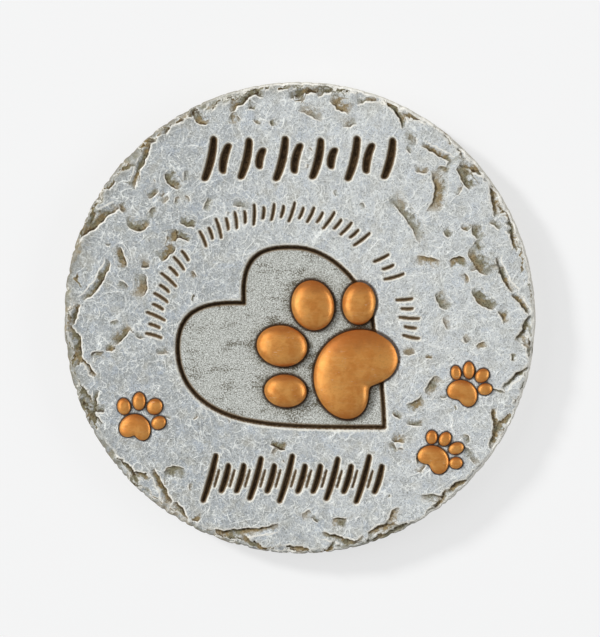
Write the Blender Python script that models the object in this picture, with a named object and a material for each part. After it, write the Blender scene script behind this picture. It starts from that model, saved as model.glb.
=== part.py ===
"""Cast garden stepping stone: a round slab with a chipped rim, a sunken heart, raised paw prints and carved strokes.

Metres, +Z up. The stone lies on the ground: z = 0 is its underside, and the origin is the underside's centre.
+Y is the top of the design. The whole stone is one casting, so it is one object.

The slab, the depths and the widths of the carving are real sizes. The layout of the carving is given as shares of
the face's radius, and the marks of the broken stone as bearings in degrees, counted anticlockwise from +X.
"""

import math

import bmesh
import bpy
from mathutils import Matrix, Vector

MM = 0.001

# Slab
DIAMETER = 254 * MM
FACE_HEIGHT = 16 * MM
WALL_LEAN = 2.9 * MM
FOOT_BEVEL = 1.2 * MM
SLAB_SIDES = 120
BASE_RADIUS = DIAMETER / 2
FACE_RADIUS = BASE_RADIUS - WALL_LEAN

# Every cutter stands this high over the face
CLEAR = FACE_HEIGHT / 2

# Sunken heart, with a groove along its foot whose walls slope at 45 degrees
HEART_DEPTH = 1.5 * MM
HEART_GROOVE = 0.6 * MM
HEART_STEPS = 9
HEART_FLOOR = FACE_HEIGHT - HEART_DEPTH

# Raised pads: the large paw stands on the heart's floor and the three tracks on the face
TOE_RISE = 4.6 * MM
HEEL_RISE = 5.0 * MM
TRACK_TOE_RISE = 1.7 * MM
TRACK_HEEL_RISE = 2.0 * MM

# Carved strokes
BOLD_WIDTH = 5.0 * MM
BOLD_DEPTH = 1.7 * MM
BRUSH_WIDTH = 4.0 * MM
BRUSH_DEPTH = 1.5 * MM
HAIR_WIDTH = 1.9 * MM
HAIR_DEPTH = 0.8 * MM
FINE_WIDTH = 2.3 * MM
FINE_DEPTH = 1.0 * MM

# Broken stone: the rim's chips fall outwards, and the face's scoops rise from a small cliff back to the face
CHIP_DEPTH = 1.5 * MM
CHIP_SLOPE = 0.42
SCOOP_DEPTH = 1.0 * MM
SCOOP_REACH = 6.5 * MM
CLIFF_SIDES = 6

# Each corner of the heart's outline: (point, handle before it, handle after it), as shares of the face's radius
HEART_OUTLINE = (
    ((-0.233, 0.067), (-0.400, 0.074), (-0.244, 0.244)),
    ((-0.022, 0.307), (-0.194, 0.313), (0.137, 0.311)),
    ((0.323, -0.042), (0.308, 0.142), (0.347, -0.140)),
    ((0.370, -0.464), (0.366, -0.325), (0.201, -0.464)),
    ((-0.191, -0.442), (-0.043, -0.469), (-0.376, -0.414)),
    ((-0.520, -0.119), (-0.523, -0.310), (-0.517, 0.043)),
)

# Toes: (x, y, half width, half length, turn in degrees)
PAW_TOES = (
    (0.063, 0.060, 0.093, 0.110, 12),
    (0.263, 0.069, 0.074, 0.094, -4),
    (-0.070, -0.116, 0.111, 0.090, -8),
    (-0.055, -0.310, 0.093, 0.072, -4),
)
TRACK_TOES = (
    (-0.755, -0.380, 0.029, 0.036, 8),
    (-0.689, -0.357, 0.028, 0.039, -3),
    (-0.621, -0.380, 0.036, 0.033, 50),
    (-0.604, -0.450, 0.033, 0.028, 30),
    (0.679, -0.228, 0.022, 0.031, 8),
    (0.734, -0.217, 0.024, 0.037, 0),
    (0.791, -0.240, 0.033, 0.027, 48),
    (0.804, -0.298, 0.031, 0.025, 10),
    (0.576, -0.507, 0.024, 0.030, -5),
    (0.633, -0.514, 0.032, 0.025, 60),
    (0.681, -0.554, 0.034, 0.025, 22),
    (0.680, -0.617, 0.029, 0.025, 5),
)

# Heels: (x, y, mean radius, bearing of the notch, swell towards the notch, swell across it, depth of the notch)
PAW_HEEL = (0.235, -0.239, 0.204, -35, 0.16, 0.06, 0.70)
TRACK_HEELS = (
    (-0.703, -0.478, 0.069, -105, 0.07, -0.06, 0.64),
    (0.711, -0.310, 0.066, -120, 0.27, 0.00, 0.65),
    (0.585, -0.595, 0.070, -125, 0.26, 0.05, 0.73),
)
NOTCH_SPREAD = 40

# Sides round a large toe, a large heel, a track's toe and a track's heel
TOE_SIDES = 20
HEEL_SIDES = 36
TRACK_TOE_SIDES = 12
TRACK_HEEL_SIDES = 24

# Rim chips, clockwise from the top: (bearing, mm from the cliff to the face's edge, length of the cliff in mm,
# degrees that the low side turns from straight out, bow of the cliff in mm)
RIM_CHIPS = (
    (88, 5, 19, 8, 1.5),
    (79, 2, 15, 6, 1.0),
    (65, 4, 18, -22, 1.2),
    (59, 2, 14, 12, 0.8),
    (51, 1.5, 14, -12, 0.8),
    (40, 3.5, 19, 18, 1.2),
    (31, 4.5, 18, -20, 1.4),
    (22, 4, 21, -9, 1.6),
    (13, 3.5, 17, -8, 1.0),
    (4, 6, 14, 22, 1.0),
    (-3, 5, 15, -18, 1.0),
    (-14, 4.5, 20, -24, 1.2),
    (-27, 4.5, 25, -4, 2.6),
    (-46, 3, 13, -12, 1.6),
    (-53, 3, 14, 14, 1.0),
    (-67, 2.5, 32, 2, 1.4),
    (-78, 5.5, 19, -16, 1.4),
    (-90, 3.5, 15, -5, 2.4),
    (-99, 2.5, 24, -10, 1.2),
    (-109, 5, 26, 12, 1.8),
    (-121, 5, 12, -16, 2.4),
    (-129, 6, 20, -20, 1.0),
    (-138, 4, 22, -2, 3.2),
    (-155, 4.5, 23, -20, 1.2),
    (-163, 4, 17, 18, 1.4),
    (-173, 6, 25, 1, 4.6),
    (179, 5, 12, -8, 1.0),
    (168, 4, 20, 20, 1.0),
    (158, 5.5, 29, -18, 1.2),
    (150, 3, 18, 6, 1.0),
    (140, 3, 15, -18, 1.0),
    (133, 5.5, 24, 18, 1.2),
    (119, 2, 21, 6, 1.0),
    (103, 4, 24, 14, 1.2),
)

# Scoops: (bearing, share of the face's radius, length of the cliff in mm, degrees that the low side turns from
# straight out, bow of the cliff in mm)
SCOOPS = (
    (135, 0.79, 13, -115, 3.0),
    (150, 0.80, 14, -80, 5.0),
    (145, 0.65, 15, 0, 2.6),
    (158, 0.78, 12, 25, 0.8),
    (167, 0.66, 15, 10, 5.0),
    (184, 0.78, 14, 134, 2.6),
    (79, 0.91, 13, -33, 1.0),
    (44, 0.80, 22, -42, 4.0),
    (44, 0.62, 28, 3, 1.2),
    (42, 0.91, 14, -18, 1.6),
    (18, 0.78, 21, 27, 5.0),
    (24, 0.62, 15, 47, 1.0),
    (6, 0.61, 13, 31, 3.2),
    (5, 0.79, 16, 35, 3.0),
    (-26, 0.62, 12, -12, 3.0),
    (-35, 0.60, 10, -33, 1.0),
    (-130, 0.83, 13, 34, 3.0),
)

# Upper row of strokes in place of words: heights and half span as shares, lengths in turn along the row
BOLD_Y = 0.690
BOLD_HALF_SPAN = 0.385
BOLD_COUNT = 11
BOLD_LEAN = -13
BOLD_LENGTHS = (26 * MM, 18 * MM, 24 * MM, 13 * MM)
BOLD_BOW = 1.3 * MM

# Arc of fine strokes over the heart, in groups from one bearing to another
FINE_CENTRE = (-0.069, -0.093)
FINE_RADIUS = 0.556
FINE_GROUPS = ((178, 139), (128, 52), (40, 30), (19, 2))
FINE_PITCH = 4.3
FINE_LEAN = -14
FINE_LENGTHS = (10.5 * MM, 8 * MM, 12.5 * MM, 8 * MM)
FINE_BOW = 0.4 * MM

# Lower row of brushed strokes, with a hairline beside each
BRUSH_Y = -0.690
BRUSH_FROM = -0.385
BRUSH_TO = 0.345
BRUSH_COUNT = 12
BRUSH_LEAN = -16
BRUSH_LENGTHS = (29 * MM, 18 * MM, 18 * MM, 26 * MM, 18 * MM)
BRUSH_BOW = 0.6 * MM
HAIR_LENGTH = 11 * MM

# How a stroke swells: (place from -1 at one end to 1 at the other, share of its full width)
STROKE_SWELL = ((-1, 0.45), (-0.86, 0.86), (-0.35, 1), (0.35, 1), (0.86, 0.86), (1, 0.45))
WELD = 0.001 * MM

STONE_COLOUR = (0.47, 0.50, 0.52, 1)
STONE_ROUGHNESS = 0.82


def clear_scene():
    """Start from an empty scene."""
    for old in list(bpy.data.objects):
        bpy.data.objects.remove(old)


def collection(name):
    """A new collection in the scene."""
    made = bpy.data.collections.new(name)
    bpy.context.scene.collection.children.link(made)
    return made


def at_share(x, y, z=0):
    """A point of the face given as shares of the face's radius, at height z."""
    return Vector((x * FACE_RADIUS, y * FACE_RADIUS, z))


def at_bearing(bearing, radius, z=0):
    """A point at a bearing in degrees and a distance from the middle, at height z."""
    angle = math.radians(bearing)
    return Vector((radius * math.cos(angle), radius * math.sin(angle), z))


def about_z(degrees):
    """A turn about the vertical."""
    return Matrix.Rotation(math.radians(degrees), 4, "Z")


def object_from(name, bm, target):
    """An object from a bmesh, which is freed."""
    bmesh.ops.recalc_face_normals(bm, faces=bm.faces)
    mesh = bpy.data.meshes.new(name)
    bm.to_mesh(mesh)
    bm.free()
    made = bpy.data.objects.new(name, mesh)
    target.objects.link(made)
    return made


def slab(target):
    """The round slab: a cone frustum whose ground face is drawn in and down to make the foot's bevel."""
    bm = bmesh.new()
    bmesh.ops.create_cone(
        bm,
        cap_ends=True,
        segments=SLAB_SIDES,
        radius1=BASE_RADIUS,
        radius2=FACE_RADIUS,
        depth=FACE_HEIGHT - FOOT_BEVEL,
        matrix=Matrix.Translation((0, 0, (FACE_HEIGHT + FOOT_BEVEL) / 2)),
    )
    bm.normal_update()
    ground = [face for face in bm.faces if face.normal.z < -0.9]
    bmesh.ops.inset_individual(bm, faces=ground, thickness=FOOT_BEVEL, depth=FOOT_BEVEL)
    return object_from("stepping_stone", bm, target)


def cliff_cutter(name, place, length, bow, depth, slope, tail, target):
    """A closed block with half an ellipse in plan, the cliff, and a straight tail behind it towards local +X.

    Its floor starts at the cliff, depth under local z = 0, and falls by slope for each metre along the tail.
    """
    outline = []
    for i in range(CLIFF_SIDES + 1):
        angle = math.pi / 2 + math.pi * i / CLIFF_SIDES
        outline.append((bow + bow * math.cos(angle), length / 2 * math.sin(angle)))
    outline += [(bow + tail, -length / 2), (bow + tail, length / 2)]
    bm = bmesh.new()
    lower = [bm.verts.new((x, y, -depth - slope * x)) for x, y in outline]
    upper = [bm.verts.new((x, y, CLEAR)) for x, y in outline]
    bm.faces.new(lower)
    bm.faces.new(upper)
    for i, corner in enumerate(lower):
        j = (i + 1) % len(lower)
        bm.faces.new((corner, lower[j], upper[j], upper[i]))
    bmesh.ops.transform(bm, matrix=place, verts=bm.verts)
    return object_from(name, bm, target)


def rim_chips(target):
    """The flakes broken off round the rim."""
    made = []
    for bearing, inset, length, turn, bow in RIM_CHIPS:
        spot = at_bearing(bearing, FACE_RADIUS - inset * MM, FACE_HEIGHT)
        place = Matrix.Translation(spot) @ about_z(bearing + turn)
        tail = (inset + length) * MM
        name = f"rim_chip_{len(made):02d}"
        made.append(cliff_cutter(name, place, length * MM, bow * MM, CHIP_DEPTH, CHIP_SLOPE, tail, target))
    return made


def scoops(target):
    """The shallow scoops broken out of the face."""
    made = []
    for bearing, share, length, turn, bow in SCOOPS:
        spot = at_bearing(bearing, share * FACE_RADIUS, FACE_HEIGHT)
        place = Matrix.Translation(spot) @ about_z(bearing + turn)
        slope = -SCOOP_DEPTH / SCOOP_REACH
        name = f"scoop_{len(made):02d}"
        made.append(cliff_cutter(name, place, length * MM, bow * MM, SCOOP_DEPTH, slope, SCOOP_REACH, target))
    return made


def mesh_from_curve(curve_object):
    """Turns a curve object into a mesh object with its caps welded, and removes the curve."""
    bpy.context.view_layer.update()
    graph = bpy.context.evaluated_depsgraph_get()
    mesh = bpy.data.meshes.new_from_object(curve_object.evaluated_get(graph))
    mesh.transform(curve_object.matrix_world)
    bm = bmesh.new()
    bm.from_mesh(mesh)
    bmesh.ops.remove_doubles(bm, verts=bm.verts, dist=WELD)
    name = curve_object.name
    target = curve_object.users_collection[0]
    bpy.data.objects.remove(curve_object)
    return object_from(name, bm, target)


def heart_curve(name, height, target):
    """The heart's outline as a closed Bezier curve at a height."""
    curve = bpy.data.curves.new(name, "CURVE")
    curve.resolution_u = HEART_STEPS
    spline = curve.splines.new("BEZIER")
    spline.bezier_points.add(len(HEART_OUTLINE) - 1)
    spline.use_cyclic_u = True
    for point, (corner, before, after) in zip(spline.bezier_points, HEART_OUTLINE):
        point.handle_left_type = "FREE"
        point.handle_right_type = "FREE"
        point.co = at_share(*corner)
        point.handle_left = at_share(*before)
        point.handle_right = at_share(*after)
    made = bpy.data.objects.new(name, curve)
    made.location.z = height
    target.objects.link(made)
    return made


def heart_cutters(target):
    """The sunken floor as an extruded heart, and the groove round it as a four-sided tube on the same outline.

    The tube stands on one edge, so that edge cuts the groove and its two lower sides slope at 45 degrees.
    """
    half = (HEART_DEPTH + CLEAR) / 2
    floor = heart_curve("heart_floor", HEART_FLOOR + half, target)
    floor.data.dimensions = "2D"
    floor.data.fill_mode = "BOTH"
    floor.data.extrude = half
    radius = 1.5 * (HEART_DEPTH + HEART_GROOVE)
    groove = heart_curve("heart_groove", HEART_FLOOR - HEART_GROOVE + radius, target)
    groove.data.dimensions = "3D"
    groove.data.twist_mode = "Z_UP"
    groove.data.bevel_depth = radius
    groove.data.bevel_resolution = 0
    return [mesh_from_curve(floor), mesh_from_curve(groove)]


def stroke_cutter(name, middle, length, lean, bow, width, depth, target):
    """A carved stroke: a tube along a shallow arc, swelling to its full width, that cuts the face below it.

    Its direction is the top of the design, turned by lean degrees. A round tool that cuts a groove of width w and
    depth d has the radius (w * w / 4 + d * d) / (2 * d). A narrower end is lifted less, so that it still cuts.
    """
    radius = (width * width / 4 + depth * depth) / (2 * depth)
    along = about_z(lean) @ Vector((0, 1, 0))
    across = Vector((along.y, -along.x, 0))
    curve = bpy.data.curves.new(name, "CURVE")
    curve.dimensions = "3D"
    curve.bevel_depth = radius
    curve.bevel_resolution = 1
    curve.use_fill_caps = True
    spline = curve.splines.new("POLY")
    spline.points.add(len(STROKE_SWELL) - 1)
    for point, (place, swell) in zip(spline.points, STROKE_SWELL):
        spot = middle + along * (place * length / 2) + across * (bow * (1 - place * place))
        spot.z += (radius - depth) * swell
        point.co = (*spot, 1)
        point.radius = swell
    made = bpy.data.objects.new(name, curve)
    target.objects.link(made)
    return mesh_from_curve(made)


def bold_strokes(target):
    """The upper row: broad strokes of several lengths, all leaning one way and bowed by turns."""
    made = []
    for i in range(BOLD_COUNT):
        middle = at_share(BOLD_HALF_SPAN * (2 * i / (BOLD_COUNT - 1) - 1), BOLD_Y, FACE_HEIGHT)
        length = BOLD_LENGTHS[i % len(BOLD_LENGTHS)]
        bow = BOLD_BOW * (-1) ** i
        name = f"bold_stroke_{i:02d}"
        made.append(stroke_cutter(name, middle, length, BOLD_LEAN, bow, BOLD_WIDTH, BOLD_DEPTH, target))
    return made


def fine_strokes(target):
    """The arc over the heart: thin strokes in groups, each standing out from the arc's centre and leaning."""
    made = []
    centre = at_share(*FINE_CENTRE, FACE_HEIGHT)
    for first, last in FINE_GROUPS:
        gaps = round((first - last) / FINE_PITCH)
        for i in range(gaps + 1):
            bearing = first + (last - first) * i / gaps
            middle = centre + at_bearing(bearing, FINE_RADIUS * FACE_RADIUS)
            length = FINE_LENGTHS[i % len(FINE_LENGTHS)]
            lean = bearing - 90 + FINE_LEAN
            name = f"fine_stroke_{len(made):02d}"
            made.append(stroke_cutter(name, middle, length, lean, FINE_BOW, FINE_WIDTH, FINE_DEPTH, target))
    return made


def brush_strokes(target):
    """The lower row: brushed strokes, with a hairline at the same slant between each two."""
    made = []
    pitch = (BRUSH_TO - BRUSH_FROM) / (BRUSH_COUNT - 1)
    for i in range(BRUSH_COUNT):
        middle = at_share(BRUSH_FROM + pitch * i, BRUSH_Y, FACE_HEIGHT)
        length = BRUSH_LENGTHS[i % len(BRUSH_LENGTHS)]
        name = f"brush_stroke_{i:02d}"
        made.append(stroke_cutter(name, middle, length, BRUSH_LEAN, BRUSH_BOW, BRUSH_WIDTH, BRUSH_DEPTH, target))
    for i in range(BRUSH_COUNT - 1):
        middle = at_share(BRUSH_FROM + pitch * (i + 0.5), BRUSH_Y, FACE_HEIGHT)
        name = f"hairline_{i:02d}"
        made.append(stroke_cutter(name, middle, HAIR_LENGTH, BRUSH_LEAN, 0, HAIR_WIDTH, HAIR_DEPTH, target))
    return made


def toe(name, row, base, rise, sides, target):
    """A toe: an ellipsoid whose middle is at the height that it stands on."""
    x, y, half_width, half_length, turn = row
    bm = bmesh.new()
    bmesh.ops.create_uvsphere(bm, u_segments=sides, v_segments=sides // 2, radius=1)
    size = Matrix.Diagonal((half_width * FACE_RADIUS, half_length * FACE_RADIUS, rise, 1))
    place = Matrix.Translation(at_share(x, y, base))
    bmesh.ops.transform(bm, matrix=place @ about_z(turn) @ size, verts=bm.verts)
    return object_from(name, bm, target)


def heel(name, row, base, rise, sides, target):
    """A heel: a ball whose plan swells to two lobes with a notch between them.

    At the angle a from the notch its reach is mean * (1 + s * cos a + t * sin a - n * exp(-(a / spread)^2)).
    """
    x, y, mean, bearing, swell, skew, notch = row
    bm = bmesh.new()
    bmesh.ops.create_uvsphere(bm, u_segments=sides, v_segments=10, radius=1)
    for corner in bm.verts:
        angle = (math.degrees(math.atan2(corner.co.y, corner.co.x)) - bearing + 180) % 360 - 180
        turn = math.radians(angle)
        pull = notch * math.exp(-((angle / NOTCH_SPREAD) ** 2))
        reach = mean * FACE_RADIUS * (1 + swell * math.cos(turn) + skew * math.sin(turn) - pull)
        corner.co = Vector((corner.co.x * reach, corner.co.y * reach, corner.co.z * rise))
    bmesh.ops.translate(bm, vec=at_share(x, y, base), verts=bm.verts)
    return object_from(name, bm, target)


def pads(target):
    """The large paw on the heart's floor, and three tracks on the face."""
    made = [heel("paw_heel", PAW_HEEL, HEART_FLOOR, HEEL_RISE, HEEL_SIDES, target)]
    for row in PAW_TOES:
        name = f"paw_toe_{len(made)}"
        made.append(toe(name, row, HEART_FLOOR, TOE_RISE, TOE_SIDES, target))
    for row in TRACK_TOES:
        name = f"track_toe_{len(made)}"
        made.append(toe(name, row, FACE_HEIGHT, TRACK_TOE_RISE, TRACK_TOE_SIDES, target))
    for row in TRACK_HEELS:
        name = f"track_heel_{len(made)}"
        made.append(heel(name, row, FACE_HEIGHT, TRACK_HEEL_RISE, TRACK_HEEL_SIDES, target))
    return made


def combine(stone, name, operation, helpers):
    """A Boolean modifier that takes every object of a collection, each of which is hidden as a helper."""
    for helper in helpers.objects:
        helper.hide_render = True
        helper.display_type = "WIRE"
    modifier = stone.modifiers.new(name, "BOOLEAN")
    modifier.operation = operation
    modifier.operand_type = "COLLECTION"
    modifier.collection = helpers
    modifier.solver = "EXACT"


def painted_stone():
    """Pale blue-grey paint over cast cement."""
    material = bpy.data.materials.new("painted_stone")
    material.use_nodes = True
    shader = material.node_tree.nodes["Principled BSDF"]
    shader.inputs["Base Color"].default_value = STONE_COLOUR
    shader.inputs["Roughness"].default_value = STONE_ROUGHNESS
    shader.inputs["Metallic"].default_value = 0.0
    return material


def main():
    """Builds the slab, breaks and carves it, and raises the pads."""
    clear_scene()
    stone = slab(collection("stepping_stone"))
    stone.data.materials.append(painted_stone())

    broken = collection("cutters_broken")
    rim_chips(broken)
    scoops(broken)
    combine(stone, "broken", "DIFFERENCE", broken)

    carved = collection("cutters_carved")
    heart_cutters(carved)
    bold_strokes(carved)
    fine_strokes(carved)
    brush_strokes(carved)
    combine(stone, "carved", "DIFFERENCE", carved)

    raised = collection("raised_pads")
    pads(raised)
    combine(stone, "raised", "UNION", raised)


main()
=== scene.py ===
# %% [markdown]
# A cast garden stepping stone, photographed from above on a pale table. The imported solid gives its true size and
# form. This lesson makes its looks: one dense mesh for the stone, worked out as a height over the round face, one
# mesh for the copper pads, and two materials. All shapes are worked out in millimetres and turned into metres when
# the mesh is made, because carving and flakes are easier to read that way.

# %% Load the frame
import math

import bpy
import numpy as np
from mathutils import Matrix, Vector


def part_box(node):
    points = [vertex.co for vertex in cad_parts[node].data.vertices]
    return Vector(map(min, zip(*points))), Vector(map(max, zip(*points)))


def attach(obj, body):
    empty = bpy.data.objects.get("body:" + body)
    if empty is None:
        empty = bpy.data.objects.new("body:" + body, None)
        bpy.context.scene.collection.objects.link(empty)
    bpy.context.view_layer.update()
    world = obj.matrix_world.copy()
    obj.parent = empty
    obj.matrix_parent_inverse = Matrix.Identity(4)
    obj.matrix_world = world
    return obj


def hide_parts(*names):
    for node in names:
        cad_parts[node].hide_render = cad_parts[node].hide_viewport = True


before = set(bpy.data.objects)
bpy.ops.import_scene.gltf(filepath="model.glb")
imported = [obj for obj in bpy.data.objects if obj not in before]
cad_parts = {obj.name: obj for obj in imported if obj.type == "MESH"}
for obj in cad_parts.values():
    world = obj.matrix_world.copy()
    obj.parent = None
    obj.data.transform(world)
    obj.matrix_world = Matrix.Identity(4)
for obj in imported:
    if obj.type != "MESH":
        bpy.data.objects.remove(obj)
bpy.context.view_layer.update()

# %% [markdown]
# The frame gives the stone's outer sizes. The height of its face and the depth of its sunken heart can't be read
# from a box, so they are given here, and they are the ones that the solid was carved with.

# %% Sizes
MM = 0.001
low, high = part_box("stepping_stone")
BASE_RADIUS = (high.x - low.x) / 2 / MM
TOP = high.z / MM
FACE_HEIGHT = 16.0
WALL_LEAN = 2.9
FOOT_BEVEL = 1.2
FACE_RADIUS = BASE_RADIUS - WALL_LEAN
HEART_DEPTH = 1.5
HEART_GROOVE = 0.6
HEART_FLOOR = FACE_HEIGHT - HEART_DEPTH
print(f"stone {2 * BASE_RADIUS:.1f} mm across, {TOP:.1f} mm high, face radius {FACE_RADIUS:.1f} mm")

# %% [markdown]
# Broken stone is never smooth, and its roughness looks alike at several scales. Gradient noise is the usual tool:
# random slopes on a square lattice, blended by a smooth curve. Numpy works it out for every point at once. A fixed
# seed for each use makes the stone come out the same each time.

# %% Noise
LATTICE = 256


def fade(t):
    """6 t^5 - 15 t^4 + 10 t^3, a curve from 0 to 1 that starts and ends level."""
    return t**3 * (t * (6 * t - 15) + 10)


def step(first, last, value):
    """0 up to first and 1 from last, with the curve 3 t^2 - 2 t^3 between."""
    t = np.clip((value - first) / (last - first), 0, 1)
    return t * t * (3 - 2 * t)


def noise(x, y, size, seed):
    """Gradient noise, about -1 to 1, whose lumps are as wide as size."""
    turn = np.random.default_rng(seed).uniform(0, 2 * np.pi, (LATTICE, LATTICE))
    u, v = x / size, y / size
    i, j = np.floor(u).astype(int), np.floor(v).astype(int)
    a, b = u - i, v - j

    def corner(di, dj):
        angle = turn[(i + di) % LATTICE, (j + dj) % LATTICE]
        return np.cos(angle) * (a - di) + np.sin(angle) * (b - dj)

    near = corner(0, 0) * (1 - fade(a)) + corner(1, 0) * fade(a)
    far = corner(0, 1) * (1 - fade(a)) + corner(1, 1) * fade(a)
    return 1.5 * (near * (1 - fade(b)) + far * fade(b))


def fractal(x, y, size, seed, octaves=3):
    """Noise at size, plus half as much at half the size, and so on."""
    return sum(noise(x, y, size / 2**k, seed + k) / 2**k for k in range(octaves))


# %% [markdown]
# The stone's face is a disc of triangles in rings: ring number k has 6 k points, so all triangles are about the same
# size, from the middle to the rim. A square grid would leave a ragged edge, and a fan would crowd the middle.

# %% The disc of rings
RINGS = 172


def ring_points():
    """The disc's points: one in the middle, and ring k at k / RINGS of the face's radius, with 6 k points."""
    ring = np.concatenate([[0]] + [np.full(6 * k, k) for k in range(1, RINGS + 1)])
    place = np.concatenate([[0]] + [np.arange(6 * k) for k in range(1, RINGS + 1)])
    angle = 2 * np.pi * place / np.maximum(6 * ring, 1)
    radius = FACE_RADIUS * ring / RINGS
    return ring, radius * np.cos(angle), radius * np.sin(angle)


def first_of(k):
    """The number of the first point of ring k: one point in the middle, and 6 + 12 + ... before ring k."""
    return 1 + 3 * k * (k - 1) if k else 0


def ring_triangles():
    """Each sixth of ring k has k spans. The next ring's has k + 1, so it takes k + 1 triangles up and k down."""
    made = []
    for k in range(RINGS):
        inner, outer = first_of(k), first_of(k + 1)
        sector, span = np.divmod(np.arange(6 * (k + 1)), k + 1)
        below = inner + (sector * k + span) % max(6 * k, 1)
        here = outer + sector * (k + 1) + span
        after = outer + (sector * (k + 1) + span + 1) % (6 * (k + 1))
        made.append(np.stack([below, here, after], 1))
        if k:
            sector, span = np.divmod(np.arange(6 * k), k)
            here = inner + sector * k + span
            ahead = outer + (sector * (k + 1) + span + 1) % (6 * (k + 1))
            after = inner + (sector * k + span + 1) % (6 * k)
            made.append(np.stack([here, ahead, after], 1))
    return np.concatenate(made)


ring, x, y = ring_points()
face_triangles = ring_triangles()
SPACING = FACE_RADIUS / RINGS
print(f"face: {len(x)} points {SPACING:.2f} mm apart, {len(face_triangles)} triangles")

# %% [markdown]
# A line of the carving looks crisp only where points lie on it. So each line is first worked out as a distance, and
# the points nearest to it are moved across onto it, by less than half of their spacing. No triangle turns over.

# %% Moving points onto a line
moved = np.zeros(len(x), bool)


def snap(distance, away, where, reach=0.48):
    """Moves the points that are within reach of the line, in spacings, onto it. away is the way distance grows."""
    near = where & ~moved & (np.abs(distance) < reach * SPACING)
    x[near] -= (distance * away[0])[near]
    y[near] -= (distance * away[1])[near]
    moved[near] = True


# %% [markdown]
# The heart is one closed curve of six Bezier pieces, sunk into the face. Its points are given as shares of the
# face's radius. The distance to the outline gives the whole profile at once: a wall, a groove along its foot where
# the brown wash collects, and a level floor. The distance counts as positive inside.

# %% The heart's outline
HEART = (
    ((-0.233, 0.067), (-0.400, 0.074), (-0.244, 0.244)),
    ((-0.022, 0.307), (-0.194, 0.313), (0.137, 0.311)),
    ((0.323, -0.042), (0.308, 0.142), (0.347, -0.140)),
    ((0.370, -0.464), (0.366, -0.325), (0.201, -0.464)),
    ((-0.191, -0.442), (-0.043, -0.469), (-0.376, -0.414)),
    ((-0.520, -0.119), (-0.523, -0.310), (-0.517, 0.043)),
)
HEART_STEPS = 24


def heart_outline():
    """Points along the outline, by the formula of a cubic Bezier curve between each two corners."""
    t = np.linspace(0, 1, HEART_STEPS, endpoint=False)[:, None]
    pieces = []
    for here, after in zip(HEART, HEART[1:] + HEART[:1]):
        p, q, r, s = (np.array(point) for point in (here[0], here[2], after[1], after[0]))
        pieces.append((1 - t) ** 3 * p + 3 * (1 - t) ** 2 * t * q + 3 * (1 - t) * t * t * r + t**3 * s)
    return FACE_RADIUS * np.concatenate(pieces)


def distance_inside(outline, x, y):
    """How far each point is inside a closed outline, less than 0 outside, and the way that the distance grows."""
    nearest = np.full(x.shape, np.inf)
    away_x, away_y = np.zeros(x.shape), np.zeros(x.shape)
    inside = np.zeros(x.shape, bool)
    for (ax, ay), (bx, by) in zip(outline, np.roll(outline, -1, 0)):
        along = ((x - ax) * (bx - ax) + (y - ay) * (by - ay)) / ((bx - ax) ** 2 + (by - ay) ** 2)
        along = np.clip(along, 0, 1)
        dx = x - ax - along * (bx - ax)
        dy = y - ay - along * (by - ay)
        gap = np.hypot(dx, dy)
        closer = gap < nearest
        nearest = np.where(closer, gap, nearest)
        away_x = np.where(closer, dx, away_x)
        away_y = np.where(closer, dy, away_y)
        inside ^= ((ay > y) != (by > y)) & (x < ax + (y - ay) * (bx - ax) / (by - ay + 1e-12))
    sign = np.where(inside, 1, -1)
    scale = sign / np.maximum(nearest, 1e-9)
    return sign * nearest, (away_x * scale, away_y * scale)


heart_line = heart_outline()
WALL_FOOT = -0.2
WALL_HEAD = -1.7
in_heart, heart_away = distance_inside(heart_line, x, y)
for line in (0.0, WALL_HEAD, 0.9):
    snap(in_heart - line, heart_away, np.abs(in_heart) < 4)
print(f"heart: {len(heart_line)} points round its outline")

# %% [markdown]
# Three rows of shallow strokes are carved into the face: broad ones above the heart, fine ones in an arc round it and
# brushed ones with hairlines between them below. A stroke is a short arc with round ends. In its own frame u runs
# along it and v across it, so a few lines of arithmetic tell how far any point is from its middle line.

# %% The strokes
BOLD = dict(width=5.0, depth=1.7, y=0.690, left=-0.385, right=0.385, count=11, lean=-13, bow=1.3, swing=-1)
BOLD["lengths"] = (26, 18, 24, 13)
FINE = dict(width=2.3, depth=1.0, centre=(-0.069, -0.093), radius=0.556, pitch=4.3, lean=-14, bow=0.4)
FINE["groups"] = ((178, 139), (128, 52), (40, 30), (19, 2))
FINE["lengths"] = (10.5, 8, 12.5, 8)
BRUSH = dict(width=4.0, depth=1.5, y=-0.690, left=-0.385, right=0.345, count=12, lean=-16, bow=0.6, swing=1)
BRUSH["lengths"] = (29, 18, 18, 26, 18)
HALF_PITCH = (BRUSH["right"] - BRUSH["left"]) / (BRUSH["count"] - 1) / 2
HAIR = dict(BRUSH, width=1.9, depth=0.8, bow=0.0, lengths=(11,), count=BRUSH["count"] - 1)
HAIR.update(left=BRUSH["left"] + HALF_PITCH, right=BRUSH["right"] - HALF_PITCH)


def stroke(kind, i, across, up, lean, bow):
    """Stroke i as (x, y, length, lean in degrees from the top of the design, bow, width, depth), in mm."""
    length = kind["lengths"][i % len(kind["lengths"])]
    return across * FACE_RADIUS, up * FACE_RADIUS, length, lean, bow, kind["width"], kind["depth"]


def straight_row(kind):
    """Strokes evenly spaced from left to right. The bow changes sides from one to the next where swing is -1."""
    rows = []
    for i in range(kind["count"]):
        across = kind["left"] + (kind["right"] - kind["left"]) * i / (kind["count"] - 1)
        rows.append(stroke(kind, i, across, kind["y"], kind["lean"], kind["bow"] * kind["swing"] ** i))
    return rows


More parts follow.
